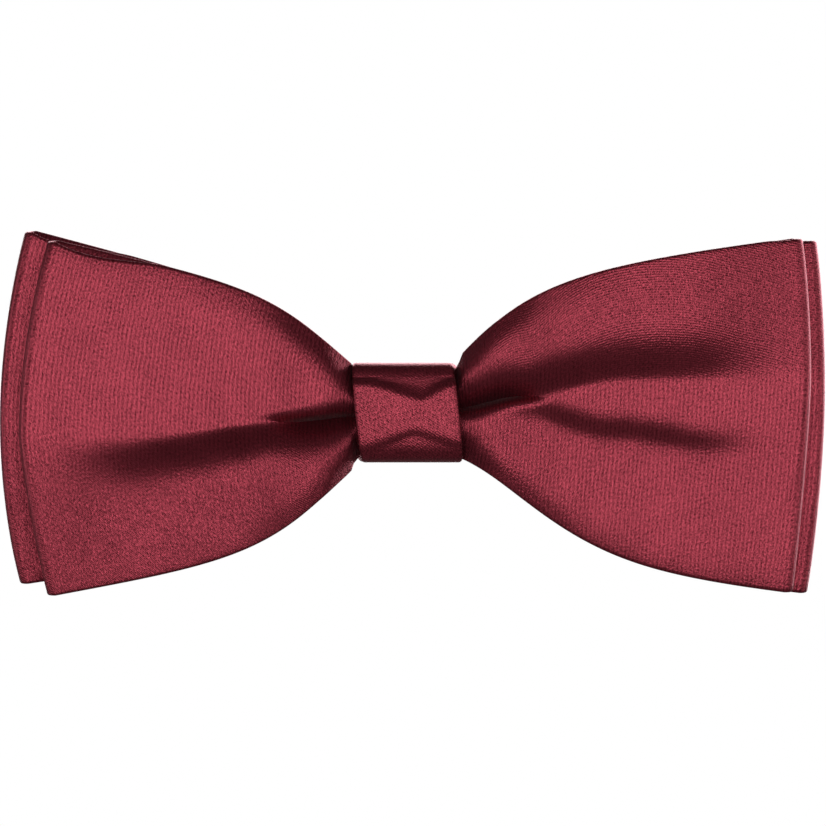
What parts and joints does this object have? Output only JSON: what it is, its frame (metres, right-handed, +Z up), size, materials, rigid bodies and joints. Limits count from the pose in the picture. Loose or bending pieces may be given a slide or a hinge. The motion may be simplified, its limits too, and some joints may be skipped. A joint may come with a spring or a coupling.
{
  "type": "bow tie",
  "caption": "Pre-tied satin bow tie: two layered, pleated loops gathered by a wrapped knot, with a sprung sheet-metal clip behind for a shirt collar.",
  "frame": {"origin": "on the rear face of the clip bar, where the collar lies, level with the middle of the knot", "axes": "+X along the bow to the right as it is looked at, +Y away from the viewer, towards the wearer, +Z up"},
  "size_m": [0.121, 0.0229, 0.052],
  "materials": {
    "satin": "burgundy satin with a soft sheen and a fine diagonal weave",
    "interlining": "plain woven canvas, undyed",
    "thread": "matt twisted sewing thread, burgundy",
    "clip_metal": "nickel-plated steel, lightly brushed",
    "spring_wire": "drawn spring wire"
  },
  "bodies": {
    "bow": {"front_bow_satin": "satin", "front_bow_interlining": "interlining", "rear_bow_satin": "satin", "rear_bow_interlining": "interlining", "knot_satin": "satin", "knot_interlining": "interlining", "waist_thread": "thread", "front_bow_end_stitches": "thread", "rear_bow_end_stitches": "thread", "knot_end_stitches": "thread", "left_tack_stitch": "thread", "right_tack_stitch": "thread", "clip_bar": "clip_metal", "left_pin": "clip_metal", "right_pin": "clip_metal", "left_spring": "spring_wire", "right_spring": "spring_wire"},
    "left_jaw_body": {"left_jaw": "clip_metal"},
    "right_jaw_body": {"right_jaw": "clip_metal"}
  },
  "joints": [
    {"name": "left_jaw_hinge", "type": "hinge", "parent": "bow", "child": "left_jaw_body", "pos_m": [-0.016, 0.003, 0], "axis": [0, 0, -1], "range_deg": [0, 30], "stiffness_Nm_per_rad": 0.02, "springref_deg": -34.38, "deforming": ["left_spring"]},
    {"name": "right_jaw_hinge", "type": "hinge", "parent": "bow", "child": "right_jaw_body", "pos_m": [0.016, 0.003, 0], "axis": [0, 0, 1], "range_deg": [0, 30], "stiffness_Nm_per_rad": 0.02, "springref_deg": -34.38, "deforming": ["right_spring"]}
  ]
}
